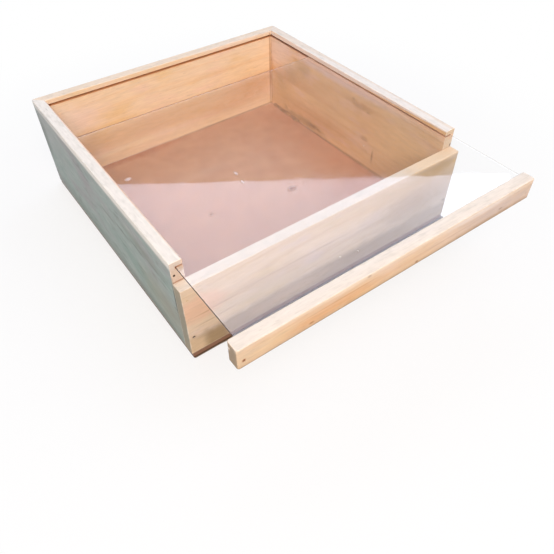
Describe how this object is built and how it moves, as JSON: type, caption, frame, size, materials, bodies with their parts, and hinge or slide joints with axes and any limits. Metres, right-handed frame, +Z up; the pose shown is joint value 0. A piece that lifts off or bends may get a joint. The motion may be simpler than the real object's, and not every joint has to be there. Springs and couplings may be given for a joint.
{
  "type": "butterfly display case",
  "caption": "Shallow square pine display case with a thin board bottom and a clear sliding lid that runs in saw grooves and is pulled by a wooden rail.",
  "frame": {"origin": "centre of the underside of the bottom panel", "axes": "+Z up; +X to the right seen from the front; the lid is drawn out along -Y"},
  "size_m": [0.3075, 0.3874, 0.1044],
  "materials": {
    "pine_walls": "planed and sanded, unfinished pine",
    "pine_rail": "planed and sanded, unfinished pine",
    "hardboard_panel": "pressed hardboard, smooth face up",
    "clear_sheet": "clear acrylic sheet, polished",
    "nail_steel": "dull drawn steel wire"
  },
  "bodies": {
    "case": {"left_side_wall": "pine_walls", "right_side_wall": "pine_walls", "back_wall": "pine_walls", "front_wall": "pine_walls", "bottom_panel": "hardboard_panel", "front_left_nails": "nail_steel", "front_right_nails": "nail_steel", "back_left_nails": "nail_steel", "back_right_nails": "nail_steel", "bottom_nails_left": "nail_steel", "bottom_nails_right": "nail_steel", "bottom_nails_front": "nail_steel", "bottom_nails_back": "nail_steel"},
    "lid": {"lid_sheet": "clear_sheet", "lid_rail": "pine_rail"}
  },
  "joints": [
    {"name": "lid_slide", "type": "slide", "parent": "case", "child": "lid", "axis": [0, -1, 0], "range_m": [-0.0812, 0.225]}
  ]
}
